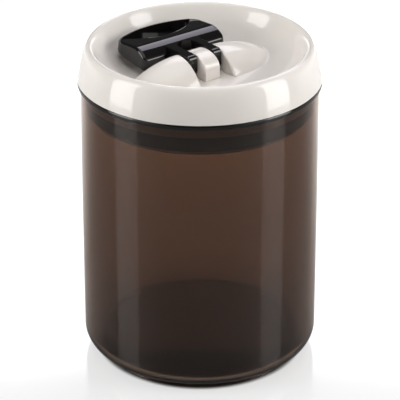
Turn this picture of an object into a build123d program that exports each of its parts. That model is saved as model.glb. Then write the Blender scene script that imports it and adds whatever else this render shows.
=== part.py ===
"""A round canister with a lid that a flip lever seals.

Millimetres, +Z up. The origin is the centre of the foot's underside. X runs along the lever's
hinge, and +Y points from the hinge to the lever's paddle. The lid is on and the lever is closed.
"""
import os
from math import cos, radians, sin, sqrt

from build123d import *

# Jar
JAR_RADIUS = 58.5
JAR_HEIGHT = 146.7
JAR_WALL = 2.3
JAR_FLOOR = 2.8
RIM_OVERHANG = 1.5
RIM_DEPTH = 2.6
RIM_ROUND = 0.5
FOOT_INSET = 8.0
FOOT_HEIGHT = 2.7
FOOT_WIDTH = 2.6
FLOOR_RISE = 4.0
CORNER_RADIUS = 9.0
CHANNEL_FLAT = 0.2
CHANNEL_ROUND = 0.8

# Lid shell: side, crest and basin
SHELL_WALL = 2.2
LID_HEIGHT = 16.9
CREST_INSET = 6.1
BASIN_DEPTH = 15.8
BOWL_RUN = 23.9
SIDE_SHARES = [(0.082, 0.343), (0.393, 0.757), (0.557, 1.0)]
BOWL_SHARES = [(0.134, 0.0), (0.163, 0.556), (0.414, 1.0)]
UNDER_SIDE_SHARES = [0.25, 0.50, 0.72]
UNDER_BOWL_SHARES = [0.32, 0.50, 0.75]
CREST_THICKNESS = 3.0

# Hinge and the travel that it gives the seal
HINGE_HEIGHT = 7.4
PIN_RADIUS = 1.25
PIN_FIT = 0.02
PIN_RUNNING = 0.05
PLUNGER_TRAVEL = 3.0
CLOSED_CRANK_ANGLE = 135.0
CRANK_SLOT_CLEARANCE = 0.15
CRANK_SLOT_RELIEF = 0.3

# Plunger: the block between the arms, and its rod
BLOCK_WIDTH = 9.0
BLOCK_LENGTH = 20.8
BLOCK_RISE = 4.2
ARCH_RISE = 6.5
BLOCK_DROP = 3.6
BLOCK_EDGE_ROUND = 0.5
BLOCK_GAP = 0.25
ROD_RADIUS = 4.5

# Lever
ARM_GAP = 0.7
ARM_WIDTH = 4.6
ARM_FRONT = 4.6
ARM_TOP = 4.5
ARM_FLOOR_GAP = 1.2
ARM_ROUND = 2.2
ARM_HEEL_ROUND = 3.0
ARM_BEND = 4.0
ARM_ROOT = 5.0
ARM_EDGE_ROUND = 0.4
PADDLE_CREST_GAP = 9.9
PADDLE_HALF_WIDTH = 25.5
PADDLE_DRAFT = 1.2
PADDLE_FLOOR_GAP = 2.2
PADDLE_HEIGHT = 11.5
PADDLE_TOP_SLOPE = 2.9
PADDLE_UNDER_SLOPE = 3.0
PADDLE_RIM_ROUND = 1.6
PADDLE_UNDER_ROUND = 2.5
ROLL_GAP = 0.1
ROLL_OVERHANG = 1.6
ROLL_LIP_HEIGHT = 5.2
ROLL_REACH = 4.0
ROLL_RADIUS = 11.5
ROLL_END_ROUND = 3.2
SHOULDER_ROUND = 10.0
NOTCH_GAP = 4.2
RECESS_RIM = 2.6
RECESS_LENGTH = 15.0
RECESS_FRONT_RADIUS = 28.0
RECESS_END_ROUND = 2.5
RECESS_FLOOR = 4.0
RECESS_EASING = 2.4
CRANK_PIN_BITE = 1.4
HINGE_PIN_BITE = 2.3
PIN_END_GAP = 0.1

# Hinge covers
COVER_GAP = 0.5
COVER_LENGTH = 33.2
COVER_FRONT = 16.9
COVER_BACK = 10.3
COVER_RISE = 3.9
COVER_PEAK_Y = 2.0
COVER_SINK = 20.0
COVER_WALL = 2.0
COVER_SEAT = 0.05
PIN_BOSS_WALL = 2.15
PIN_BOSS_LENGTH = 6.5
PIN_BOSS_END = 0.5
COVER_POST_WALL = 1.6
COVER_SCREW_SHARES = [0.25, 0.49]
COVER_SCREW_RADIUS = 1.2
COVER_SCREW_LENGTH = 7.5
COVER_SCREW_HEAD_RADIUS = 2.4
COVER_SCREW_HEAD = 1.6

# Liner under the shell, with its guide for the rod
LINER_CLEARANCE = 0.6
LINER_WALL = 2.2
LINER_DEPTH = 8.0
LINER_RISE = 2.2
LINER_HUB_WALL = 2.5
HUB_PLATE_GAP = 2.4
HUB_LIP = 1.5
HUB_LIP_CLEARANCE = 0.4
LINER_RING_DROP = 2.8
LINER_BOSS_WALL = 2.0
LINER_SCREW_INSET = 7.8
LINER_SCREW_COUNT = 4
LINER_SCREW_TURN = 45.0
LINER_SCREW_RADIUS = 1.5
LINER_SCREW_COVER = 1.6
LINER_SCREW_HEAD_RADIUS = 2.9
LINER_SCREW_HEAD = 1.9
SCREW_HOLE_CLEARANCE = 0.2
SCREW_SOCKET_RADIUS = 1.0
SCREW_SOCKET_DEPTH = 1.0
ROD_SEAL_CORD_RADIUS = 0.85
ROD_SEAL_CLEARANCE = 0.15
ROD_SEAL_HEADROOM = 0.3

# Seal and clamp plate
SEAL_HEIGHT = 7.7
SEAL_CLEARANCE = 0.3
SEAL_LIP = 1.7
SEAL_WIDTH = 9.9
LOCATING_RING_WIDTH = 1.8
LOCATING_GAP = 0.4
PLATE_CLEARANCE = 2.7
PLATE_THICKNESS = 1.9
PLATE_EDGE_ROUND = 0.6
PLATE_RING_HEIGHT = 2.5
PLATE_HUB = 3.0
PLATE_HUB_LEDGE = 3.2
CAP_COLLAR_GAP = 1.5
CAP_COLLAR_WALL = 1.8
CAP_COLLAR_DROP = 3.4
CAP_THICKNESS = 1.0
CAP_PLUG_WALL = 0.9
CAP_PLUG_HEIGHT = 2.0
WASHER_RADIUS = 5.5
WASHER_THICKNESS = 0.8
CLAMP_SCREW_RADIUS = 1.75
CLAMP_SCREW_LENGTH = 14.0
CLAMP_SCREW_HEAD_RADIUS = 3.6
CLAMP_SCREW_HEAD = 2.2

# Worked out from the sizes above
CUT_OVERRUN = 1.0
EDGE_MATCH = 0.001
RIM_RADIUS = JAR_RADIUS + RIM_OVERHANG
MOUTH_RADIUS = JAR_RADIUS - JAR_WALL
UNDER_FLOOR_Z = FOOT_HEIGHT + FLOOR_RISE
CHANNEL_FLOOR_Z = FOOT_HEIGHT + JAR_FLOOR
INSIDE_CORNER_RADIUS = CORNER_RADIUS - JAR_WALL
PLATFORM_RADIUS = MOUTH_RADIUS - INSIDE_CORNER_RADIUS - CHANNEL_FLAT - CHANNEL_ROUND
INSIDE_FLOOR_Z = UNDER_FLOOR_Z + JAR_FLOOR
FOOT_RADIUS = JAR_RADIUS - FOOT_INSET
CREST_RADIUS = RIM_RADIUS - CREST_INSET
CREST_Z = JAR_HEIGHT + LID_HEIGHT
BASIN_Z = CREST_Z - BASIN_DEPTH
BASIN_UNDER_Z = BASIN_Z - SHELL_WALL
BASIN_FLOOR_RADIUS = CREST_RADIUS - BOWL_RUN
HINGE_Z = BASIN_Z + HINGE_HEIGHT
CRANK_THROW = PLUNGER_TRAVEL / (2 * sin(radians(CLOSED_CRANK_ANGLE)))
CRANK_Y = CRANK_THROW * cos(radians(CLOSED_CRANK_ANGLE))
CRANK_Z = HINGE_Z + CRANK_THROW * sin(radians(CLOSED_CRANK_ANGLE))
ARM_INNER = BLOCK_WIDTH / 2 + ARM_GAP
ARM_OUTER = ARM_INNER + ARM_WIDTH
BLOCK_TOP_Z = HINGE_Z + BLOCK_RISE
COVER_FACE = ARM_OUTER + COVER_GAP
COVER_HEIGHT = HINGE_HEIGHT + COVER_RISE
PIN_BOSS_RADIUS = PIN_RADIUS + PIN_BOSS_WALL
PIN_SEAT_LENGTH = PIN_BOSS_LENGTH - PIN_BOSS_END
COVER_POST_RADIUS = COVER_SCREW_RADIUS + COVER_POST_WALL
PADDLE_RADIUS = CREST_RADIUS - PADDLE_CREST_GAP
PADDLE_Z = BASIN_Z + PADDLE_FLOOR_GAP
ARM_BOTTOM_Z = BASIN_Z + ARM_FLOOR_GAP
ROLL_FRONT = COVER_PEAK_Y + COVER_BACK + ROLL_GAP
ROLL_LIP = ROLL_FRONT - ROLL_OVERHANG
NOTCH_END = BLOCK_LENGTH / 2 + NOTCH_GAP
RECESS_BACK = PADDLE_RADIUS - RECESS_RIM
RECESS_FRONT = RECESS_BACK - RECESS_LENGTH
LINER_Z = JAR_HEIGHT - LINER_DEPTH
LINER_TOP_Z = LINER_Z + LINER_WALL
LINER_RADIUS = MOUTH_RADIUS - LINER_CLEARANCE
LINER_BOSS_RADIUS = LINER_SCREW_RADIUS + LINER_BOSS_WALL
LINER_SCREW_LENGTH = BASIN_Z - LINER_Z - LINER_SCREW_COVER
SEAL_OUTER_RADIUS = MOUTH_RADIUS - SEAL_CLEARANCE
SEAL_INNER_RADIUS = SEAL_OUTER_RADIUS - SEAL_WIDTH
LOCATING_RADIUS = SEAL_INNER_RADIUS - LOCATING_GAP
LINER_SCREW_CIRCLE = LOCATING_RADIUS - LOCATING_RING_WIDTH - LINER_SCREW_INSET
BUSH_WALL = 2 * (ROD_SEAL_CORD_RADIUS + ROD_SEAL_CLEARANCE)
HUB_BORE_RADIUS = ROD_RADIUS + BUSH_WALL
HUB_RADIUS = HUB_BORE_RADIUS + LINER_HUB_WALL
PLATE_TOP_Z = LINER_Z - SEAL_HEIGHT
HUB_BOTTOM_Z = PLATE_TOP_Z + HUB_PLATE_GAP
HUB_LIP_Z = HUB_BOTTOM_Z + HUB_LIP
BUSH_Z = HUB_LIP_Z + 2 * ROD_SEAL_CORD_RADIUS + ROD_SEAL_HEADROOM
PLATE_RADIUS = MOUTH_RADIUS - PLATE_CLEARANCE
PLATE_HUB_Z = PLATE_TOP_Z - PLATE_HUB
CAP_COLLAR_RADIUS = WASHER_RADIUS + CAP_COLLAR_GAP + CAP_COLLAR_WALL
PLATE_HUB_RADIUS = CAP_COLLAR_RADIUS + PLATE_HUB_LEDGE
BLOCK_Z = BASIN_Z - BLOCK_DROP


def turned(*edges):
    """Solid of revolution about Z from edges drawn as (radius, height) that close an outline."""
    return revolve(Plane.XZ * make_face(edges), axis=Axis.Z)


def turned_outline(points, rounds):
    """Solid of revolution from corner points (radius, height), each with its rounding radius."""
    outline = FilletPolyline(*points, radius=rounds, close=True)
    return revolve(Plane.XZ * make_face(outline.edges()), axis=Axis.Z)


def tube(outer, inner, low, high):
    """Upright tube about Z."""
    height = high - low
    return Pos(Z=low) * (post(outer, height) - post(inner, height))


def post(radius, height):
    """Upright cylinder standing on the origin."""
    return Cylinder(radius, height, align=(Align.CENTER, Align.CENTER, Align.MIN))


def rod_along_x(radius, start, end, y, z):
    """Cylinder parallel to X from start to end."""
    lying = Rot(Y=90) * post(radius, end - start)
    return Pos(start, y, z) * lying


def screw(radius, length, head_radius, head, socket_radius, socket_depth):
    """Round-headed screw on the origin: its head below, its shank pointing up."""
    blank = post(radius, length) + Pos(Z=-head) * post(head_radius, head)
    return blank - Pos(Z=-head) * post(socket_radius, socket_depth)


def side_curve():
    """The lid's outer side, from the seam on the jar's rim up to the crest."""
    middle = [(RIM_RADIUS - a * CREST_INSET, JAR_HEIGHT + b * LID_HEIGHT) for a, b in SIDE_SHARES]
    return Bezier((RIM_RADIUS, JAR_HEIGHT), *middle, (CREST_RADIUS, CREST_Z))


def bowl_curve():
    """The basin's side, from the crest down to its flat floor."""
    run = CREST_RADIUS - BASIN_FLOOR_RADIUS
    middle = [(CREST_RADIUS - a * run, CREST_Z - b * BASIN_DEPTH) for a, b in BOWL_SHARES]
    return Bezier((CREST_RADIUS, CREST_Z), *middle, (BASIN_FLOOR_RADIUS, BASIN_Z))


def inset(curve, share, distance):
    """Point at a share of a curve, moved to its left by a distance."""
    place = curve @ share
    way = curve % share
    return (place.X - way.Y * distance, place.Y + way.X * distance)


def lid_top(bottom_z):
    """Everything under the lid's top surface, down to bottom_z."""
    side = side_curve()
    bowl = bowl_curve()
    base = Polyline(
        (BASIN_FLOOR_RADIUS, BASIN_Z), (0, BASIN_Z), (0, bottom_z), (RIM_RADIUS, bottom_z),
        (RIM_RADIUS, JAR_HEIGHT),
    )
    return turned(side, bowl, *base.edges())


def liner_screw_places():
    """Places of the liner screws and their bosses, between the two axes."""
    return PolarLocations(LINER_SCREW_CIRCLE, LINER_SCREW_COUNT, start_angle=LINER_SCREW_TURN)


def canister_body():
    """Jar of even thickness, whose floor is raised in the middle and has a channel round it."""
    hollow = PLATFORM_RADIUS - JAR_FLOOR
    body = turned_outline(
        [
            (0, UNDER_FLOOR_Z),
            (hollow, UNDER_FLOOR_Z),
            (hollow, FOOT_HEIGHT),
            (JAR_RADIUS, FOOT_HEIGHT),
            (JAR_RADIUS, JAR_HEIGHT - RIM_DEPTH),
            (RIM_RADIUS, JAR_HEIGHT - RIM_DEPTH),
            (RIM_RADIUS, JAR_HEIGHT),
            (MOUTH_RADIUS, JAR_HEIGHT),
            (MOUTH_RADIUS, CHANNEL_FLOOR_Z),
            (PLATFORM_RADIUS, CHANNEL_FLOOR_Z),
            (PLATFORM_RADIUS, INSIDE_FLOOR_Z),
            (0, INSIDE_FLOOR_Z),
        ],
        [
            0, CHANNEL_ROUND, CHANNEL_ROUND, CORNER_RADIUS, 0, RIM_ROUND, RIM_ROUND, RIM_ROUND,
            INSIDE_CORNER_RADIUS, CHANNEL_ROUND, CHANNEL_ROUND, 0,
        ],
    )
    foot = tube(FOOT_RADIUS, FOOT_RADIUS - FOOT_WIDTH, 0, FOOT_HEIGHT + JAR_FLOOR / 2)
    return body + foot


def lid_shell():
    side = side_curve()
    bowl = bowl_curve()
    peak = (CREST_RADIUS, CREST_Z - CREST_THICKNESS)
    under_side = Spline(
        (RIM_RADIUS - SHELL_WALL, JAR_HEIGHT),
        *[inset(side, share, SHELL_WALL) for share in UNDER_SIDE_SHARES],
        peak,
    )
    under_bowl = Spline(
        peak,
        *[inset(bowl, share, SHELL_WALL) for share in UNDER_BOWL_SHARES],
        (BASIN_FLOOR_RADIUS, BASIN_UNDER_Z),
    )
    floor = Polyline(
        (BASIN_FLOOR_RADIUS, BASIN_Z), (0, BASIN_Z), (0, BASIN_UNDER_Z),
        (BASIN_FLOOR_RADIUS, BASIN_UNDER_Z),
    )
    seam = Line((RIM_RADIUS - SHELL_WALL, JAR_HEIGHT), (RIM_RADIUS, JAR_HEIGHT))
    shell = turned(side, bowl, *floor.edges(), under_bowl, under_side, seam)

    under_top = lid_top(LINER_TOP_Z)
    boss = Pos(Z=LINER_TOP_Z) * post(LINER_BOSS_RADIUS, BASIN_DEPTH)
    shell += [(place * boss) & under_top for place in liner_screw_places()]

    depth = SHELL_WALL + 2 * CUT_OVERRUN
    window = Box(
        BLOCK_WIDTH + 2 * BLOCK_GAP, BLOCK_LENGTH + 2 * BLOCK_GAP, depth,
        align=(Align.CENTER, Align.CENTER, Align.MIN),
    )
    shell -= Pos(Z=BASIN_UNDER_Z - CUT_OVERRUN) * window
    shank_hole = post(COVER_SCREW_RADIUS + SCREW_HOLE_CLEARANCE, depth)
    shell -= [Pos(x, 0, BASIN_UNDER_Z - CUT_OVERRUN) * shank_hole for x in cover_screw_x()]
    grip = LINER_SCREW_LENGTH - LINER_WALL + PIN_END_GAP
    grip_hole = Pos(Z=LINER_TOP_Z) * post(LINER_SCREW_RADIUS + PIN_FIT, grip)
    shell -= [place * grip_hole for place in liner_screw_places()]
    return shell


def right_screw_x():
    """Places along X of the screws of the right-hand cover."""
    return [COVER_FACE + share * COVER_LENGTH for share in COVER_SCREW_SHARES]


def cover_screw_x():
    """Places along X of the screws of both covers."""
    return [side * x for side in (-1, 1) for x in right_screw_x()]


def dome(length, front, back, height, sink):
    """Half of a dome standing on the origin: round towards +X and flat at X = 0.

    It is the cap of an ellipsoid whose centre lies a sink below the dome's foot. The foot is
    length long, and it reaches front towards -Y and back towards +Y.
    """
    spread = 1 / sqrt(1 - (sink / (sink + height)) ** 2)
    halves = []
    for depth, turn in ((front, 0), (back, 180)):
        shares = (spread, depth * spread / length, (height + sink) / length)
        whole = scale(Sphere(length), by=shares)
        half = Box(
            2 * length, depth, height,
            align=(Align.CENTER, Align.MAX, Align.MIN),
        )
        halves.append((Pos(Z=-sink) * whole) & (Rot(Z=turn) * half))
    full = halves[0] + halves[1]
    right = Box(length, 2 * max(front, back), height, align=(Align.MIN, Align.CENTER, Align.MIN))
    return full & right


def hinge_cover():
    """The right-hand cover: a hollow dome with a boss for the pin and posts for its screws."""
    outer = Pos(COVER_FACE, COVER_PEAK_Y, BASIN_Z) * dome(
        COVER_LENGTH, COVER_FRONT, COVER_BACK, COVER_HEIGHT, COVER_SINK
    )
    hollow = Pos(COVER_FACE + COVER_WALL, COVER_PEAK_Y, BASIN_Z) * dome(
        COVER_LENGTH - 2 * COVER_WALL,
        COVER_FRONT - COVER_WALL,
        COVER_BACK - COVER_WALL,
        COVER_HEIGHT - COVER_WALL,
        COVER_SINK,
    )
    boss = rod_along_x(PIN_BOSS_RADIUS, COVER_FACE, COVER_FACE + PIN_BOSS_LENGTH, 0, HINGE_Z)
    posts = Part() + [
        Pos(x, 0, BASIN_Z) * post(COVER_POST_RADIUS, COVER_HEIGHT) for x in right_screw_x()
    ]
    cover = outer - hollow + ((boss + posts) & outer)
    cover -= Pos(Z=COVER_SEAT) * lid_top(BASIN_UNDER_Z)
    cover -= rod_along_x(
        PIN_RADIUS + PIN_FIT, COVER_FACE - CUT_OVERRUN, COVER_FACE + PIN_SEAT_LENGTH, 0, HINGE_Z
    )
    grip = COVER_SCREW_LENGTH - SHELL_WALL + PIN_END_GAP
    grip_hole = post(COVER_SCREW_RADIUS + PIN_FIT, grip)
    cover -= [Pos(x, 0, BASIN_Z) * grip_hole for x in right_screw_x()]
    return cover


def hinge_pin():
    """The right-hand pin, held in the cover and running in the lever's arm."""
    start = ARM_OUTER - HINGE_PIN_BITE + PIN_END_GAP
    end = COVER_FACE + PIN_SEAT_LENGTH - PIN_END_GAP
    return rod_along_x(PIN_RADIUS, start, end, 0, HINGE_Z)


def cover_screws():
    one = screw(
        COVER_SCREW_RADIUS, COVER_SCREW_LENGTH, COVER_SCREW_HEAD_RADIUS, COVER_SCREW_HEAD,
        SCREW_SOCKET_RADIUS, SCREW_SOCKET_DEPTH,
    )
    return Compound([Pos(x, 0, BASIN_UNDER_Z) * one for x in cover_screw_x()])


def open_rim(*faces):
    """Edges round a patch of faces, without the ones that two of the faces share."""
    edges = ShapeList([edge for face in faces for edge in face.edges()])
    return [
        edge for edge in edges
        if sum((edge.center() - other.center()).length < EDGE_MATCH for other in edges) == 1
    ]


def paddle():
    """The finger plate: a slab with leaning sides, a rolled front and a recess for the fingers."""
    width = 2 * PADDLE_HALF_WIDTH
    crown_front = ROLL_LIP + ROLL_REACH
    plan = Circle(PADDLE_RADIUS) & (
        Pos(Y=ROLL_LIP) * Rectangle(width, PADDLE_RADIUS, align=(Align.CENTER, Align.MIN))
    )
    plan = fillet(plan.vertices().sort_by(Axis.Y)[0:2], ROLL_END_ROUND)
    plan = fillet(plan.vertices().group_by(Axis.Y)[-1], SHOULDER_ROUND)
    top_z = PADDLE_Z + PADDLE_HEIGHT
    crown_plan = offset(plan, -PADDLE_DRAFT)
    block = loft([Pos(Z=PADDLE_Z) * plan, Pos(Z=top_z) * crown_plan], ruled=True)
    profile = FilletPolyline(
        (ROLL_FRONT, PADDLE_Z),
        (PADDLE_RADIUS, PADDLE_Z + PADDLE_UNDER_SLOPE),
        (PADDLE_RADIUS, top_z - PADDLE_TOP_SLOPE),
        (crown_front, top_z),
        (ROLL_LIP, PADDLE_Z + ROLL_LIP_HEIGHT),
        radius=[0, 0, 0, ROLL_RADIUS, 0],
        close=True,
    )
    body = block & extrude(Plane.YZ * make_face(profile.edges()), PADDLE_RADIUS, both=True)
    base = body.faces().sort_by(Axis.Z)[0].edges()
    base = [edge for edge in base if edge.center().Y > ROLL_FRONT + EDGE_MATCH]
    body = fillet(base, PADDLE_UNDER_ROUND)
    body = fillet(open_rim(*body.faces().sort_by(Axis.Z)[-2:]), PADDLE_RIM_ROUND)

    lens_centre = Pos(Y=RECESS_FRONT + RECESS_FRONT_RADIUS)
    lens = Circle(RECESS_BACK) & (lens_centre * Circle(RECESS_FRONT_RADIUS))
    lens = fillet(lens.vertices(), RECESS_END_ROUND)
    body -= Pos(Z=PADDLE_Z + RECESS_FLOOR) * extrude(lens, PADDLE_HEIGHT)

    run = (RECESS_FRONT - crown_front) / (PADDLE_RADIUS - crown_front)
    crest_z = top_z - run * PADDLE_TOP_SLOPE
    outside = RECESS_FRONT_RADIUS + RECESS_EASING
    inside = RECESS_FRONT_RADIUS - RECESS_EASING
    low, high = crest_z - RECESS_EASING, crest_z + RECESS_EASING
    easing = CenterArc((outside, low), RECESS_EASING, start_angle=90, arc_size=90)
    corner = Polyline(easing @ 1, (inside, low), (inside, high), (outside, high), easing @ 0)
    cut = lens_centre * turned(*easing.edges(), *corner.edges())
    return body - (cut & post(RECESS_BACK, high))


def lever():
    arm_side = FilletPolyline(
        (-ARM_FRONT, ARM_BOTTOM_Z),
        (ROLL_FRONT - ARM_BEND, ARM_BOTTOM_Z),
        (ROLL_FRONT, PADDLE_Z),
        (ROLL_FRONT + ARM_ROOT, PADDLE_Z),
        (ROLL_FRONT + ARM_ROOT, HINGE_Z + ARM_TOP),
        (-ARM_FRONT, HINGE_Z + ARM_TOP),
        radius=[ARM_HEEL_ROUND, 0, 0, 0, 0, ARM_ROUND],
        close=True,
    )
    slab = extrude(Plane.YZ * make_face(arm_side.edges()), ARM_OUTER, both=True)
    sides = [face for face in slab.faces() if abs(face.center().X) > ARM_INNER]
    slab = fillet([edge for face in sides for edge in face.edges()], ARM_EDGE_ROUND)
    notch = Box(
        2 * ARM_INNER, 2 * NOTCH_END, 2 * PADDLE_HEIGHT,
        align=(Align.CENTER, Align.MAX, Align.CENTER),
    ) + Cylinder(ARM_INNER, 2 * PADDLE_HEIGHT)
    body = paddle() + slab - Pos(0, NOTCH_END - ARM_INNER, HINGE_Z) * notch

    crank_end = ARM_INNER + CRANK_PIN_BITE
    body -= rod_along_x(PIN_RADIUS + PIN_FIT, -crank_end, crank_end, CRANK_Y, CRANK_Z)
    for start, end in (
        (ARM_OUTER - HINGE_PIN_BITE, ARM_OUTER + CUT_OVERRUN),
        (-ARM_OUTER - CUT_OVERRUN, HINGE_PIN_BITE - ARM_OUTER),
    ):
        body -= rod_along_x(PIN_RADIUS + PIN_RUNNING, start, end, 0, HINGE_Z)
    return body


def crank_pin():
    end = ARM_INNER + CRANK_PIN_BITE - PIN_END_GAP
    return rod_along_x(PIN_RADIUS, -end, end, CRANK_Y, CRANK_Z)


def plunger():
    """The arched block that the crank pin lifts, with its rod down to the clamp plate."""
    half = BLOCK_LENGTH / 2
    spring_z = BLOCK_TOP_Z - ARCH_RISE
    arch = EllipticalCenterArc((0, spring_z), half, ARCH_RISE, start_angle=0, arc_size=180)
    base = Polyline((-half, spring_z), (-half, BLOCK_Z), (half, BLOCK_Z), (half, spring_z))
    outline = make_face([arch, *base.edges()])
    block = extrude(Plane.YZ * outline, BLOCK_WIDTH / 2, both=True)
    sides = [face for face in block.faces() if abs(face.center().X) > BLOCK_WIDTH / 4]
    rim = [edge for face in sides for edge in face.edges()]
    rim = [edge for edge in rim if edge.center().Z > BLOCK_Z + EDGE_MATCH]
    block = fillet(rim, BLOCK_EDGE_ROUND)
    block += Pos(Z=PLATE_TOP_Z) * post(ROD_RADIUS, BLOCK_Z - PLATE_TOP_Z)

    slot_height = 2 * (PIN_RADIUS + CRANK_SLOT_CLEARANCE)
    slot_front = -CRANK_THROW - PIN_RADIUS - CRANK_SLOT_RELIEF
    slot_back = CRANK_Y + PIN_RADIUS + CRANK_SLOT_RELIEF
    slot = Box(BLOCK_WIDTH + 2 * CUT_OVERRUN, slot_back - slot_front, slot_height)
    block -= Pos(0, (slot_front + slot_back) / 2, CRANK_Z) * slot
    block -= Pos(Z=PLATE_TOP_Z) * post(
        CLAMP_SCREW_RADIUS + PIN_FIT, CLAMP_SCREW_LENGTH - PLATE_HUB + CUT_OVERRUN
    )
    return block


def lid_liner():
    wall = tube(LINER_RADIUS, LINER_RADIUS - LINER_WALL, LINER_Z, JAR_HEIGHT + LINER_RISE)
    plate = Pos(Z=LINER_Z) * post(LINER_RADIUS, LINER_WALL)
    ring_inner = LOCATING_RADIUS - LOCATING_RING_WIDTH
    ring = tube(LOCATING_RADIUS, ring_inner, LINER_Z - LINER_RING_DROP, LINER_Z)
    hub = Pos(Z=HUB_BOTTOM_Z) * post(HUB_RADIUS, LINER_TOP_Z - HUB_BOTTOM_Z)
    liner = wall + plate + ring + hub
    liner -= Pos(Z=HUB_LIP_Z) * post(HUB_BORE_RADIUS, LINER_TOP_Z - HUB_LIP_Z)
    liner -= Pos(Z=HUB_BOTTOM_Z) * post(ROD_RADIUS + HUB_LIP_CLEARANCE, HUB_LIP)
    shank_hole = post(LINER_SCREW_RADIUS + SCREW_HOLE_CLEARANCE, LINER_WALL)
    return liner - [place * Pos(Z=LINER_Z) * shank_hole for place in liner_screw_places()]


def liner_screws():
    one = screw(
        LINER_SCREW_RADIUS, LINER_SCREW_LENGTH, LINER_SCREW_HEAD_RADIUS, LINER_SCREW_HEAD,
        SCREW_SOCKET_RADIUS, SCREW_SOCKET_DEPTH,
    )
    return Compound([Pos(Z=LINER_Z) * place * one for place in liner_screw_places()])


def rod_bush():
    outer = HUB_BORE_RADIUS - PIN_FIT
    return tube(outer, ROD_RADIUS + PIN_RUNNING, BUSH_Z, LINER_TOP_Z)


def rod_seal():
    return Pos(Z=HUB_LIP_Z + ROD_SEAL_CORD_RADIUS) * Torus(
        ROD_RADIUS + BUSH_WALL / 2, ROD_SEAL_CORD_RADIUS
    )


def seal_ring():
    """Silicone ring whose outer face bulges towards the jar's wall."""
    edge = SEAL_OUTER_RADIUS - SEAL_LIP
    middle_z = PLATE_TOP_Z + SEAL_HEIGHT / 2
    bulge = ThreePointArc((edge, PLATE_TOP_Z), (SEAL_OUTER_RADIUS, middle_z), (edge, LINER_Z))
    rest = Polyline(
        (edge, LINER_Z), (SEAL_INNER_RADIUS, LINER_Z), (SEAL_INNER_RADIUS, PLATE_TOP_Z),
        (edge, PLATE_TOP_Z),
    )
    return turned(bulge, *rest.edges())


def clamp_plate():
    under = PLATE_TOP_Z - PLATE_THICKNESS
    disc = turned_outline(
        [(0, under), (PLATE_RADIUS, under), (PLATE_RADIUS, PLATE_TOP_Z), (0, PLATE_TOP_Z)],
        [0, PLATE_EDGE_ROUND, PLATE_EDGE_ROUND, 0],
    )
    ring_inner = LOCATING_RADIUS - LOCATING_RING_WIDTH
    ring = tube(LOCATING_RADIUS, ring_inner, PLATE_TOP_Z, PLATE_TOP_Z + PLATE_RING_HEIGHT)
    hub = Pos(Z=PLATE_HUB_Z) * post(PLATE_HUB_RADIUS, PLATE_HUB)
    collar = tube(
        CAP_COLLAR_RADIUS, CAP_COLLAR_RADIUS - CAP_COLLAR_WALL, PLATE_HUB_Z - CAP_COLLAR_DROP,
        PLATE_HUB_Z,
    )
    hole = Pos(Z=PLATE_HUB_Z) * post(CLAMP_SCREW_RADIUS + SCREW_HOLE_CLEARANCE, PLATE_HUB)
    return disc + ring + hub + collar - hole


def clamp_washer():
    return tube(
        WASHER_RADIUS, CLAMP_SCREW_RADIUS + SCREW_HOLE_CLEARANCE, PLATE_HUB_Z - WASHER_THICKNESS,
        PLATE_HUB_Z,
    )


def clamp_screw():
    one = screw(
        CLAMP_SCREW_RADIUS, CLAMP_SCREW_LENGTH, CLAMP_SCREW_HEAD_RADIUS, CLAMP_SCREW_HEAD,
        SCREW_SOCKET_RADIUS, SCREW_SOCKET_DEPTH,
    )
    return Pos(Z=PLATE_HUB_Z - WASHER_THICKNESS) * one


def screw_cap():
    """Cap with a plug ring inside the clamp plate's collar."""
    seat = PLATE_HUB_Z - CAP_COLLAR_DROP
    plug = CAP_COLLAR_RADIUS - CAP_COLLAR_WALL - PIN_FIT
    disc = Pos(Z=seat - CAP_THICKNESS) * post(CAP_COLLAR_RADIUS, CAP_THICKNESS)
    return disc + tube(plug, plug - CAP_PLUG_WALL, seat, seat + CAP_PLUG_HEIGHT)


os.makedirs("parts", exist_ok=True)
right_cover = hinge_cover()
right_pin = hinge_pin()
nodes = {
    "canister_body": canister_body(),
    "lid_shell": lid_shell(),
    "hinge_cover_left": mirror(right_cover, about=Plane.YZ),
    "hinge_cover_right": right_cover,
    "cover_screws": cover_screws(),
    "hinge_pin_left": mirror(right_pin, about=Plane.YZ),
    "hinge_pin_right": right_pin,
    "lever": lever(),
    "crank_pin": crank_pin(),
    "plunger": plunger(),
    "lid_liner": lid_liner(),
    "liner_screws": liner_screws(),
    "rod_bush": rod_bush(),
    "rod_seal": rod_seal(),
    "seal_ring": seal_ring(),
    "clamp_plate": clamp_plate(),
    "clamp_washer": clamp_washer(),
    "clamp_screw": clamp_screw(),
    "screw_cap": screw_cap(),
}
for name, solid in nodes.items():
    export_step(solid, f"parts/{name}.step")
    print(name, round(solid.volume, 1))
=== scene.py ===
"""Looks for a round tinted canister whose white lid is sealed by a black flip lever.

Metres, in the model's own frame: +Z up, X along the lever's hinge, +Y towards the lever's paddle.
"""

from math import cos, pi, radians, sin

import bpy
import numpy as np
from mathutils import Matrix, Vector


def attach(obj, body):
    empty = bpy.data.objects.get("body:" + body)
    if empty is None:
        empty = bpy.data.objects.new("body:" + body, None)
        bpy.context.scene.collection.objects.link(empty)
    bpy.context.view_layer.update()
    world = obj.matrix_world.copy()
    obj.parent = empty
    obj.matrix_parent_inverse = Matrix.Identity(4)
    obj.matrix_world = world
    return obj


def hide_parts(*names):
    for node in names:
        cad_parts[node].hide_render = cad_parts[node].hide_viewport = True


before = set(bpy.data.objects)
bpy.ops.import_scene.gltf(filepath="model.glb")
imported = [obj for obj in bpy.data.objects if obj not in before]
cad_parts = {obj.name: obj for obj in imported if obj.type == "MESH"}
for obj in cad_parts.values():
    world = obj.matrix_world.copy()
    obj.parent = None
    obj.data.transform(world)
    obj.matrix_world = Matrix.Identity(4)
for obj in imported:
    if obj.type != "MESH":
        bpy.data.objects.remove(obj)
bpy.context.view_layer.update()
MM = 0.001

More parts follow.
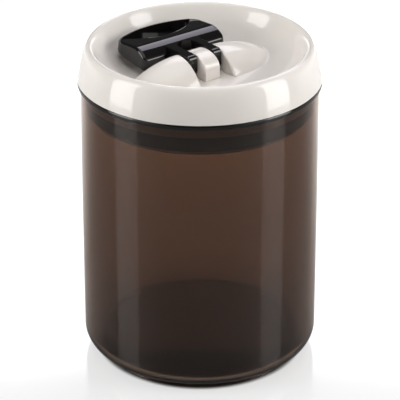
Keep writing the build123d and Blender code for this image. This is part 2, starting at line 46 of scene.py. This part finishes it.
# Photograph's view
VIEW_AZIMUTH = radians(-38.0)
VIEW_ELEVATION = radians(26.4)
VIEW_DISTANCE = 1.2
VIEW_CENTRE_Z = 0.0786
LENS = 216.0
SENSOR = 36.0
IMAGE_SIDE = 400
CENTRE_PIXEL = (199.8, 200.0)
CLIP_NEAR = 0.05
CLIP_FAR = 50.0

# Two tall windows that stand on the sheet, to the left and right of the camera
WINDOW_TURN = radians(74.0)
WINDOW_DISTANCE = 0.95
WINDOW_WIDTH = 0.43
WINDOW_HEIGHT = 0.88
LEFT_WINDOW_RADIANCE = 4.7
RIGHT_WINDOW_RADIANCE = 5.2
WINDOW_COLOUR = (1.0, 0.985, 0.965)

# Round softbox overhead
DOME_PLACE = (0, 0, 1.5)
DOME_TARGET = (0, 0, 0.1)
DOME_WIDTH = 1.55
DOME_RADIANCE = 1.16
DOME_COLOUR = (1.0, 0.99, 0.975)

# Violet softbox high behind, which the roll of the lever mirrors
BAND_TURN = radians(163.0)
BAND_ELEVATION = radians(45.0)
BAND_DISTANCE = 1.2
BAND_TARGET = (0, 0.02, 0.16)
BAND_WIDTH = 0.78
BAND_HEIGHT = 0.46
BAND_RADIANCE = 3.1
BAND_COLOUR = (0.93, 0.88, 1.0)

# Low white card close behind, which whitens the sheet in front of it
CARD_DISTANCE = 0.32
CARD_WIDTH = 0.36
CARD_HEIGHT = 0.21
CARD_RADIANCE = 2.5
CARD_COLOUR = (1.0, 1.0, 1.0)

# Room round the studio
ROOM_RADIANCE = 0.07
SIDES_RADIANCE = 1.6
HORIZON_RADIANCE = 1.1
HORIZON_BOTTOM = radians(3.0)
HORIZON_TOP = radians(11.0)
SIDES_BESIDE = (0.4, 0.95)
SIDES_IN_FRONT = (-0.05, 0.25)
HORIZON_BEHIND = (0.0, 0.5)

# Sheet under the object: its gloss, and the white that it shows of itself near the object and away
SHEET_HALF = 6.0
SHEET_TONE = 0.36
SHEET_ROUGHNESS = 0.12
SHEET_IOR = 1.8
SHEET_SPECULAR = 0.5
SHEET_SPECULAR_MIRRORED = 0.15
SHEET_WHITE_NEAR = 0.62
SHEET_WHITE_AWAY = 0.78
SHEET_WHITE_THROUGH_JAR = 0.4
OPEN_SHEET_BEHIND = (0.12, 0.3)
MIRRORED_BEHIND = (0.05, 0.4)

# Sheet's painted shadow round the foot, and its wider painted shadow seen through the jar, in
# millimetres off the foot
FOOT_SHADE = 3.0
JAR_SHADE = (5.0, 55.0)

# Finishes: the drift of a moulded colour, and the noises that break it up, in waves a metre
COLOUR_DRIFT = (0.97, 1.02)
COLOUR_WAVES = 35.0
SKIN_WAVES = 90.0
SKIN_STRENGTH = 0.05
SKIN_DEPTH = 0.0001
STEEL_WAVES = 900.0
CLEAR_WAVES = 60.0
PLASTIC_IOR = 1.5
CLEAR_IOR = 1.49

# Jar, in millimetres as in the CAD model
FOOT_RADIUS = 50.5
FOOT_INSIDE = 47.9
FOOT_HEIGHT = 2.7
UNDER_FLOOR = 6.7
CHANNEL_FLOOR = 5.5
INSIDE_FLOOR = 9.5
PLATFORM_RADIUS = 48.5
PLATFORM_WALL = 2.8
JAR_RADIUS = 58.5
MOUTH_RADIUS = 56.2
CORNER_RADIUS = 9.0
INSIDE_CORNER = 6.7
RIM_RADIUS = 60.0
RIM_BOTTOM = 144.1
RIM_TOP = 146.7
FLOOR_EDGE_ROUND = 0.8
FOOT_EDGE_ROUND = 0.4
INNER_EDGE_ROUND = 0.3
RIM_EDGE_ROUND = 0.5
RIM_SHOULDER_ROUND = 1.1
RIM_SKIRT = 0.4
RIM_LIP = 0.2
CORNER_POINTS = 40
ARC_POINTS = 13

# Bowl of the lid as (radius, height) control points, and the hinge covers on it, in millimetres
BOWL = ((53.9, 163.6), (50.7, 163.6), (50.0, 154.82), (44.0, 147.8), (30.0, 147.8))
BASIN_Z = BOWL[-1][1]
BOWL_POINTS = 400
COVER_FACE = 10.3
COVER_PEAK_Y = 2.0
COVER_LENGTH = 33.2
COVER_FRONT = 16.9
COVER_BACK = 10.3
COVER_HEIGHT = 11.3
COVER_SINK = 20.0
COVER_EDGE_ROUND = 0.9
COVER_FLARE = 1.3
COVER_SPARE = 1.15
COVER_LENGTH_SPARE = 1.1
COVER_COLUMNS = 141
COVER_ROWS = 70
FACE_ROWS = 6
EDGE_POINTS = 9
UNDER_STEP = 6
EDGE_SEARCH_POINTS = 2000
FOOT_SEARCH_POINTS = 900

SHARP_ANGLE = radians(38.0)
TURNS = 320


def towards(azimuth, elevation):
    """Unit vector from the object at an azimuth from -Y, turned towards +X, and an elevation."""
    return Vector((
        sin(azimuth) * cos(elevation), -cos(azimuth) * cos(elevation), sin(elevation)
    ))


BEHIND = -towards(VIEW_AZIMUTH, 0)


def aim(thing, place, target):
    """Puts a camera or lamp at a place with its -Z axis at the target."""
    thing.location = place
    thing.rotation_euler = (Vector(target) - Vector(place)).to_track_quat("-Z", "Y").to_euler()


def make_camera():
    """Long lens on the photograph's side of the object."""
    data = bpy.data.cameras.new("photo_view")
    data.lens = LENS
    data.sensor_width = SENSOR
    data.shift_x = (IMAGE_SIDE / 2 - CENTRE_PIXEL[0]) / IMAGE_SIDE
    data.shift_y = (CENTRE_PIXEL[1] - IMAGE_SIDE / 2) / IMAGE_SIDE
    data.clip_start = CLIP_NEAR
    data.clip_end = CLIP_FAR
    camera = bpy.data.objects.new("photo_view", data)
    bpy.context.scene.collection.objects.link(camera)
    centre = Vector((0, 0, VIEW_CENTRE_Z))
    aim(camera, centre + VIEW_DISTANCE * towards(VIEW_AZIMUTH, VIEW_ELEVATION), centre)
    bpy.context.scene.camera = camera


def softbox(name, shape, width, height, radiance, colour, place, target):
    """Area lamp of a given radiance: a flat lamp's radiance is its power over pi times its area."""
    data = bpy.data.lights.new(name, "AREA")
    data.shape = shape
    data.size = width
    data.size_y = height
    area = width * height * (pi / 4 if shape == "DISK" else 1)
    data.energy = radiance * pi * area
    data.color = colour
    lamp = bpy.data.objects.new(name, data)
    bpy.context.scene.collection.objects.link(lamp)
    aim(lamp, place, target)


def make_lamps():
    """Two windows, a round softbox overhead, a low card and a violet softbox behind."""
    mid_window = Vector((0, 0, WINDOW_HEIGHT / 2))
    for name, turn, radiance in (
        ("left_window", -WINDOW_TURN, LEFT_WINDOW_RADIANCE),
        ("right_window", WINDOW_TURN, RIGHT_WINDOW_RADIANCE),
    ):
        place = WINDOW_DISTANCE * towards(VIEW_AZIMUTH + turn, 0) + mid_window
        softbox(
            name, "RECTANGLE", WINDOW_WIDTH, WINDOW_HEIGHT, radiance, WINDOW_COLOUR,
            place, mid_window,
        )
    softbox(
        "overhead", "DISK", DOME_WIDTH, DOME_WIDTH, DOME_RADIANCE, DOME_COLOUR,
        DOME_PLACE, DOME_TARGET,
    )
    mid_card = Vector((0, 0, CARD_HEIGHT / 2))
    softbox(
        "low_card", "RECTANGLE", CARD_WIDTH, CARD_HEIGHT, CARD_RADIANCE, CARD_COLOUR,
        CARD_DISTANCE * BEHIND + mid_card, mid_card,
    )
    target = Vector(BAND_TARGET)
    softbox(
        "violet_band", "RECTANGLE", BAND_WIDTH, BAND_HEIGHT, BAND_RADIANCE, BAND_COLOUR,
        target + BAND_DISTANCE * towards(VIEW_AZIMUTH + BAND_TURN, BAND_ELEVATION), target,
    )


def new_material(name):
    """A material with its node tree and its Principled shader."""
    material = bpy.data.materials.new(name)
    material.use_nodes = True
    tree = material.node_tree
    return material, tree, tree.nodes["Principled BSDF"]


def link(tree, source, output, target, socket):
    """Joins an output of one node to an input of another."""
    tree.links.new(source.outputs[output], target.inputs[socket])


def math_node(tree, operation, *values):
    """Result of an operation on plain numbers and sockets."""
    node = tree.nodes.new("ShaderNodeMath")
    node.operation = operation
    for i, value in enumerate(values):
        if isinstance(value, (int, float)):
            node.inputs[i].default_value = value
        else:
            tree.links.new(value, node.inputs[i])
    return node.outputs[0]


def ramp(tree, value, start, end, low=0.0, high=1.0, shape="SMOOTHSTEP"):
    """Goes from low where a value is start to high where it is end."""
    node = tree.nodes.new("ShaderNodeMapRange")
    node.interpolation_type = shape
    for name, number in (
        ("From Min", start), ("From Max", end), ("To Min", low), ("To Max", high)
    ):
        node.inputs[name].default_value = number
    tree.links.new(value, node.inputs["Value"])
    return node.outputs["Result"]


def dot(tree, vector, direction):
    """Share of a vector that lies along a direction."""
    node = tree.nodes.new("ShaderNodeVectorMath")
    node.operation = "DOT_PRODUCT"
    tree.links.new(vector, node.inputs[0])
    node.inputs[1].default_value = direction
    return node.outputs["Value"]


def surface_noise(tree, scale, detail):
    """Noise that is fixed to the object: its scale is in waves a metre."""
    place = tree.nodes.new("ShaderNodeTexCoord")
    noise = tree.nodes.new("ShaderNodeTexNoise")
    noise.inputs["Scale"].default_value = scale
    noise.inputs["Detail"].default_value = detail
    link(tree, place, "Object", noise, "Vector")
    return noise.outputs["Fac"]


def uneven_roughness(tree, shader, noise, low, high):
    """Roughness that drifts between low and high."""
    tree.links.new(ramp(tree, noise, 0, 1, low, high, "LINEAR"), shader.inputs["Roughness"])


def moulded(name, colour, low, high):
    """Moulded plastic: one colour with a slight drift, and a skin that is not quite even."""
    material, tree, shader = new_material(name)
    low_tone, high_tone = COLOUR_DRIFT
    mix = tree.nodes.new("ShaderNodeMix")
    mix.data_type = "RGBA"
    mix.inputs["A"].default_value = (*[c * low_tone for c in colour], 1)
    mix.inputs["B"].default_value = (*[c * high_tone for c in colour], 1)
    tree.links.new(surface_noise(tree, COLOUR_WAVES, 2.0), mix.inputs["Factor"])
    tree.links.new(mix.outputs["Result"], shader.inputs["Base Color"])
    skin = surface_noise(tree, SKIN_WAVES, 3.0)
    uneven_roughness(tree, shader, skin, low, high)
    relief = tree.nodes.new("ShaderNodeBump")
    relief.inputs["Strength"].default_value = SKIN_STRENGTH
    relief.inputs["Distance"].default_value = SKIN_DEPTH
    tree.links.new(skin, relief.inputs["Height"])
    link(tree, relief, "Normal", shader, "Normal")
    shader.inputs["IOR"].default_value = PLASTIC_IOR
    return material


def turned_steel():
    """Bright steel with the fine unevenness of a turned pin or screw."""
    material, tree, shader = new_material("turned_steel")
    uneven_roughness(tree, shader, surface_noise(tree, STEEL_WAVES, 2.0), 0.22, 0.38)
    shader.inputs["Base Color"].default_value = (0.62, 0.62, 0.63, 1)
    shader.inputs["Metallic"].default_value = 1.0
    return material


def tinted_clear():
    """Clear plastic that passes more red than blue, polished on both sides."""
    material, tree, shader = new_material("tinted_clear")
    shader.inputs["Base Color"].default_value = (0.205, 0.135, 0.095, 1)
    shader.inputs["Transmission Weight"].default_value = 1.0
    shader.inputs["IOR"].default_value = CLEAR_IOR
    uneven_roughness(tree, shader, surface_noise(tree, CLEAR_WAVES, 2.0), 0.0, 0.02)
    return material


def sheet_white(tree):
    """White that the sheet shows of itself to the camera, to mirrors and through the clear wall.

    It is none on things that the sheet would light, none under the foot, less near the object, and
    less still just outside the foot where it is seen through the jar. The lack under and round the
    foot, and the dip just outside it seen through the jar, is painted shadow. Mirrors see it only
    behind.
    """
    rays = tree.nodes.new("ShaderNodeLightPath").outputs
    through_jar = rays["Is Transmission Ray"]
    place = tree.nodes.new("ShaderNodeTexCoord")
    span = tree.nodes.new("ShaderNodeVectorMath")
    span.operation = "LENGTH"
    link(tree, place, "Object", span, 0)
    distance = span.outputs["Value"]
    behind = dot(tree, place.outputs["Object"], BEHIND)
    # Painted shadow: the sheet's white is none under the foot and comes back over FOOT_SHADE.
    off_foot = ramp(tree, distance, FOOT_RADIUS * MM, (FOOT_RADIUS + FOOT_SHADE) * MM)
    # Painted shadow seen through the jar: the white dips just outside the foot.
    painted_shadow_through_jar = ramp(
        tree, distance, *[(FOOT_RADIUS + reach) * MM for reach in JAR_SHADE],
        1 - SHEET_WHITE_THROUGH_JAR, 0.0,
    )
    lit = math_node(tree, "SUBTRACT", 1, math_node(tree, "MULTIPLY", painted_shadow_through_jar, through_jar))
    open_sheet = ramp(tree, behind, *OPEN_SHEET_BEHIND, SHEET_WHITE_NEAR, SHEET_WHITE_AWAY)
    direct = math_node(tree, "MAXIMUM", rays["Is Camera Ray"], through_jar)
    mirrored = math_node(
        tree, "MULTIPLY", rays["Is Glossy Ray"], ramp(tree, behind, *MIRRORED_BEHIND)
    )
    white = math_node(tree, "ADD", direct, mirrored)
    for factor in (lit, off_foot, open_sheet):
        white = math_node(tree, "MULTIPLY", white, factor)
    specular = ramp(
        tree, rays["Is Glossy Ray"], 0, 1, SHEET_SPECULAR, SHEET_SPECULAR_MIRRORED
    )
    return white, specular


def make_floor():
    """Pale glossy sheet under the object."""
    mesh = bpy.data.meshes.new("floor")
    corners = [(x * SHEET_HALF, y * SHEET_HALF, 0) for x, y in ((-1, -1), (1, -1), (1, 1), (-1, 1))]
    mesh.from_pydata(corners, [], [(0, 1, 2, 3)])
    floor = bpy.data.objects.new("floor", mesh)
    bpy.context.scene.collection.objects.link(floor)
    material, tree, shader = new_material("pale_sheet")
    shader.inputs["Base Color"].default_value = (SHEET_TONE, SHEET_TONE, SHEET_TONE, 1)
    shader.inputs["Roughness"].default_value = SHEET_ROUGHNESS
    shader.inputs["IOR"].default_value = SHEET_IOR
    shader.inputs["Emission Color"].default_value = (1, 1, 1, 1)
    white, specular = sheet_white(tree)
    tree.links.new(white, shader.inputs["Emission Strength"])
    tree.links.new(specular, shader.inputs["Specular IOR Level"])
    mesh.materials.append(material)


def make_world():
    """Dim room, pale at both sides of the camera and along the horizon behind the object."""
    world = bpy.data.worlds.new("studio")
    bpy.context.scene.world = world
    world.use_nodes = True
    tree = world.node_tree
    background = tree.nodes["Background"]
    way = tree.nodes.new("ShaderNodeTexCoord").outputs["Generated"]
    beside = math_node(tree, "ABSOLUTE", dot(tree, way, towards(VIEW_AZIMUTH + pi / 2, 0)))
    sides = math_node(
        tree, "MULTIPLY", ramp(tree, beside, *SIDES_BESIDE, 0.0, SIDES_RADIANCE),
        ramp(tree, dot(tree, way, -BEHIND), *SIDES_IN_FRONT),
    )
    height = dot(tree, way, (0, 0, 1))
    horizon = math_node(
        tree, "MULTIPLY",
        ramp(tree, height, sin(HORIZON_BOTTOM), sin(HORIZON_TOP), HORIZON_RADIANCE, 0.0),
        ramp(tree, dot(tree, way, BEHIND), *HORIZON_BEHIND),
    )
    strength = math_node(tree, "ADD", math_node(tree, "ADD", sides, horizon), ROOM_RADIANCE)
    background.inputs["Color"].default_value = (1, 1, 1, 1)
    tree.links.new(strength, background.inputs["Strength"])


def rounded_path(points, radii, steps, support=0.25):
    """Corner points (radius, height) joined by straight runs, each corner replaced by an arc.

    The arc leaves the run before the corner at radius x tan(half the turn) from it. Its points are
    centre + the arm to its start, turned evenly through the turn. Long runs get a point near each end.
    """
    corners = np.array(points, float)
    radius = np.array(radii, float)[:, None]
    step = np.diff(corners, axis=0)
    step /= np.linalg.norm(step, axis=1)[:, None]
    before = np.vstack([step[:1], step])
    after = np.vstack([step, step[-1:]])
    turn = np.arctan2(
        before[:, 0] * after[:, 1] - before[:, 1] * after[:, 0], (before * after).sum(1)
    )[:, None]
    start = corners - before * radius * np.tan(np.abs(turn) / 2)
    arm = radius * np.sign(turn) * np.stack([before[:, 1], -before[:, 0]], 1)
    angle = turn * np.linspace(0, 1, steps)
    across = np.stack([-arm[:, 1], arm[:, 0]], 1)
    arcs = (start - arm)[:, None] + arm[:, None] * np.cos(angle)[..., None]
    path = (arcs + across[:, None] * np.sin(angle)[..., None]).reshape(-1, 2)
    path = path[np.r_[True, np.linalg.norm(np.diff(path, axis=0), axis=1) > 1e-6]]
    run = np.diff(path, axis=0)
    length = np.linalg.norm(run, axis=1)
    long_runs = np.flatnonzero(length > 4 * support)
    near = run[long_runs] * (support / length[long_runs])[:, None]
    extra = np.stack([path[long_runs] + near, path[long_runs + 1] - near], 1).reshape(-1, 2)
    return np.insert(path, np.repeat(long_runs + 1, 2), extra, axis=0)


def make_piece(name, points, faces, materials, body, stands_for):
    """Mesh of a piece in its place, from points in millimetres and faces of any number of corners."""
    mesh = bpy.data.meshes.new(name)
    mesh.from_pydata((points * MM).tolist(), [], faces)
    mesh.update()
    mesh.shade_smooth()
    mesh.set_sharp_from_angle(angle=SHARP_ANGLE)
    for material in materials:
        mesh.materials.append(material)
    piece = bpy.data.objects.new(name, mesh)
    bpy.context.scene.collection.objects.link(piece)
    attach(piece, body)
    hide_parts(stands_for)
    return piece


def lathe(path):
    """Closed solid of revolution about Z: each point (r, z) becomes r cos u, r sin u, z.

    The path starts and ends on the axis, where fans of triangles close it.
    """
    ring = path[1:-1]
    u = np.linspace(0, 2 * pi, TURNS, endpoint=False)
    around = np.stack([
        np.outer(ring[:, 0], np.cos(u)), np.outer(ring[:, 0], np.sin(u)),
        np.repeat(ring[:, 1:], TURNS, axis=1),
    ], -1).reshape(-1, 3)
    points = np.vstack([around, [(0, 0, path[0, 1]), (0, 0, path[-1, 1])]])
    here = np.arange(TURNS)
    following = (here + 1) % TURNS
    first, last = len(around), len(around) + 1
    low_fan = np.stack([np.full(TURNS, first), following, here], 1)
    top = (len(ring) - 1) * TURNS
    high_fan = np.stack([np.full(TURNS, last), top + here, top + following], 1)
    row = np.arange(len(ring) - 1)[:, None] * TURNS
    walls = np.stack([
        row + here, row + following, row + TURNS + following, row + TURNS + here
    ], -1).reshape(-1, 4)
    return points, walls.tolist() + low_fan.tolist() + high_fan.tolist()


def make_jar(clear_material, rim_shade_material):
    """Tinted canister turned in one: foot ring, rounded corner, straight wall and a rim painted
    near-black. The near-black rim is painted shade for the thick tinted plastic seen edge-on.

    The outline is a list of (radius, height, rounding of that corner), from the axis under the
    floor round the outside to the axis above the floor.
    """
    lean = np.linspace(
        -np.arccos((FOOT_RADIUS - JAR_RADIUS + CORNER_RADIUS) / CORNER_RADIUS), 0, CORNER_POINTS
    )
    corner = np.stack([
        JAR_RADIUS - CORNER_RADIUS + CORNER_RADIUS * np.cos(lean),
        FOOT_HEIGHT + CORNER_RADIUS + CORNER_RADIUS * np.sin(lean),
        0 * lean,
    ], 1)
    outline = np.array([
        (0, UNDER_FLOOR, 0),
        (PLATFORM_RADIUS - PLATFORM_WALL, UNDER_FLOOR, FLOOR_EDGE_ROUND),
        (PLATFORM_RADIUS - PLATFORM_WALL, FOOT_HEIGHT, FLOOR_EDGE_ROUND),
        (FOOT_INSIDE, FOOT_HEIGHT, INNER_EDGE_ROUND),
        (FOOT_INSIDE, 0, FOOT_EDGE_ROUND),
        (FOOT_RADIUS, 0, FOOT_EDGE_ROUND),
        *corner,
        (JAR_RADIUS, RIM_BOTTOM, INNER_EDGE_ROUND),
        (RIM_RADIUS, RIM_BOTTOM, RIM_EDGE_ROUND),
        (RIM_RADIUS, RIM_TOP, RIM_SHOULDER_ROUND),
        (MOUTH_RADIUS, RIM_TOP, RIM_EDGE_ROUND),
        (MOUTH_RADIUS, CHANNEL_FLOOR, INSIDE_CORNER),
        (PLATFORM_RADIUS, CHANNEL_FLOOR, FLOOR_EDGE_ROUND),
        (PLATFORM_RADIUS, INSIDE_FLOOR, FLOOR_EDGE_ROUND),
        (0, INSIDE_FLOOR, 0),
    ])
    vertices, faces = lathe(rounded_path(outline[:, :2], outline[:, 2], ARC_POINTS))
    jar = make_piece(
        "tinted_jar", vertices, faces, (clear_material, rim_shade_material), "canister",
        "canister_body",
    )
    radius = np.hypot(vertices[:, 0], vertices[:, 1])
    # Faces of the rim get the near-black material: painted shade for the thick tinted plastic seen
    # edge-on.
    on_rim = (vertices[:, 2] > RIM_BOTTOM - RIM_SKIRT) & (radius > MOUTH_RADIUS + RIM_LIP)
    dark = np.array([on_rim[face].all() for face in faces], dtype=np.int32)
    jar.data.polygons.foreach_set("material_index", dark)


def bezier(control, count):
    """Points of a Bezier curve, by joining the points between its control points again and again."""
    t = np.linspace(0, 1, count)[:, None, None]
    points = np.repeat(np.array(control, float)[None], count, axis=0)
    while points.shape[1] > 1:
        points = points[:, :-1] * (1 - t) + points[:, 1:] * t
    return points[:, 0]


def basin_height(x, y):
    """Height of the lid's bowl over a point: its curve, read at the distance from the axis."""
    curve = bezier(BOWL, BOWL_POINTS)[::-1]
    return np.interp(np.hypot(x, y), curve[:, 0], curve[:, 1])


def cover_height(x, y):
    """Height of a hinge cover's skin, and how far its dome is above the bowl.

    The skin is the higher of dome and bowl, blended over the flare. The dome is
    sqrt((H + S)^2 - ((H + S)^2 - S^2) rho^2) - S above the basin, where rho is the distance from its
    peak in shares of its reach. The blend adds flare / 4 x (1 - gap / flare)^2 near the joint.
    """
    reach = np.where(y < COVER_PEAK_Y, COVER_FRONT, COVER_BACK)
    rho2 = ((x - COVER_FACE) / COVER_LENGTH) ** 2 + ((y - COVER_PEAK_Y) / reach) ** 2
    full = (COVER_HEIGHT + COVER_SINK) ** 2
    under_root = np.maximum(full - (full - COVER_SINK ** 2) * rho2, 0)
    dome = BASIN_Z + np.sqrt(under_root) - COVER_SINK
    bowl = basin_height(x, y)
    near = np.maximum(COVER_FLARE - np.abs(dome - bowl), 0) / COVER_FLARE
    return np.maximum(dome, bowl) + near ** 2 * COVER_FLARE / 4, dome - bowl


def cover_columns():
    """Y of a cover's columns, from end to end of its edge and closer together near the ends."""
    y = np.linspace(
        COVER_PEAK_Y - COVER_SPARE * COVER_FRONT, COVER_PEAK_Y + COVER_SPARE * COVER_BACK,
        EDGE_SEARCH_POINTS,
    )
    above = cover_height(np.full_like(y, COVER_FACE), y)[1] > -COVER_FLARE
    low, high = y[above][[0, -1]]
    turn = np.linspace(-pi / 2, pi / 2, COVER_COLUMNS)
    return (low + high) / 2 + (high - low) / 2 * np.sin(turn)


def cover_skin(y):
    """Grid of a cover's upper side: in each column, x goes evenly from the flare's foot to the edge."""
    start = COVER_FACE + COVER_EDGE_ROUND
    far = COVER_FACE + COVER_LENGTH_SPARE * COVER_LENGTH
    fine = np.linspace(start, far, FOOT_SEARCH_POINTS)
    gap = cover_height(fine[:, None] + 0 * y, y + 0 * fine[:, None])[1]
    end = fine[np.maximum((gap > -COVER_FLARE).cumprod(0).sum(0) - 1, 1)]
    x = start + np.linspace(1, 0, COVER_ROWS)[:, None] * (end - start)
    across = y + 0 * x
    return np.stack([x, across, cover_height(x, across)[0]], -1)


def make_cover(side, name, material, stands_for):
    """Hinge cover: a flared half dome with a rounded edge and a flat face towards the lever.

    Columns run along y from end to end. In each, the rows go from the foot of the flare up over the
    skin, round the edge through a quarter circle, down the face, and back under the cover.
    """
    y = cover_columns()
    skin = cover_skin(y)
    normal = np.stack([0 * y, -np.gradient(skin[-1, :, 2], y), np.ones_like(y)], -1)
    normal /= np.linalg.norm(normal, axis=1)[:, None]
    bend = np.linspace(0, pi / 2, EDGE_POINTS)[1:, None, None]
    inward = np.array([1, 0, 0])
    round_edge = skin[-1] - COVER_EDGE_ROUND * normal + COVER_EDGE_ROUND * (
        np.cos(bend) * normal - np.sin(bend) * inward
    )
    lower = round_edge[-1].copy()
    lower[:, 2] = basin_height(lower[:, 0], lower[:, 1])
    down = np.linspace(0, 1, FACE_ROWS)[1:, None, None]
    face = round_edge[-1] + (lower - round_edge[-1]) * down
    under = skin[::-UNDER_STEP].copy()
    under[..., 2] = basin_height(under[..., 0], under[..., 1])
    loop = np.concatenate([skin, round_edge, face, under[1:]])
    rows, columns = loop.shape[:2]
    loop[..., 0] *= side
    numbers = np.arange(rows * columns).reshape(rows, columns)
    closed = np.vstack([numbers, numbers[:1]])
    faces = np.stack(
        [closed[:-1, :-1], closed[:-1, 1:], closed[1:, 1:], closed[1:, :-1]], -1
    ).reshape(-1, 4)
    ends = [numbers[::-1, 0], numbers[:, -1]]
    if side < 0:
        faces = faces[:, ::-1]
        ends = [end[::-1] for end in ends]
    return make_piece(
        name, loop.reshape(-1, 3), faces.tolist() + [end.tolist() for end in ends],
        (material,), "lid", stands_for,
    )


def dress(name, material):
    """Gives a CAD node a material in all of its slots."""
    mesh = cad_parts[name].data
    mesh.materials.clear()
    mesh.materials.append(material)


bpy.context.scene.view_settings.view_transform = "Standard"
make_camera()
make_world()
make_floor()
make_lamps()

white = moulded("white_gloss", (0.86, 0.82, 0.775), 0.05, 0.09)
black = moulded("black_gloss", (0.007, 0.0062, 0.006), 0.04, 0.08)
# Near-black paint for the jar's clear rim: painted shade for the thick tinted plastic seen edge-on.
rim_painted_shade = moulded("rim_painted_shade", (0.006, 0.005, 0.0045), 0.02, 0.05)
satin = moulded("white_satin", (0.78, 0.77, 0.75), 0.35, 0.45)
rubber = moulded("seal_rubber", (0.03, 0.03, 0.03), 0.45, 0.6)
bush = moulded("bush_plastic", (0.75, 0.74, 0.70), 0.4, 0.5)
steel = turned_steel()
clear = tinted_clear()
make_jar(clear, rim_painted_shade)
make_cover(1, "right_hinge_cover", white, "hinge_cover_right")
make_cover(-1, "left_hinge_cover", white, "hinge_cover_left")
for node, material in {
    "canister_body": clear, "lid_shell": white, "hinge_cover_left": white,
    "hinge_cover_right": white, "plunger": white, "lever": black, "cover_screws": steel,
    "hinge_pin_left": steel, "hinge_pin_right": steel, "crank_pin": steel, "lid_liner": satin,
    "liner_screws": steel, "rod_bush": bush, "rod_seal": rubber, "seal_ring": rubber,
    "clamp_plate": satin, "clamp_washer": steel, "clamp_screw": steel, "screw_cap": satin,
}.items():
    dress(node, material)
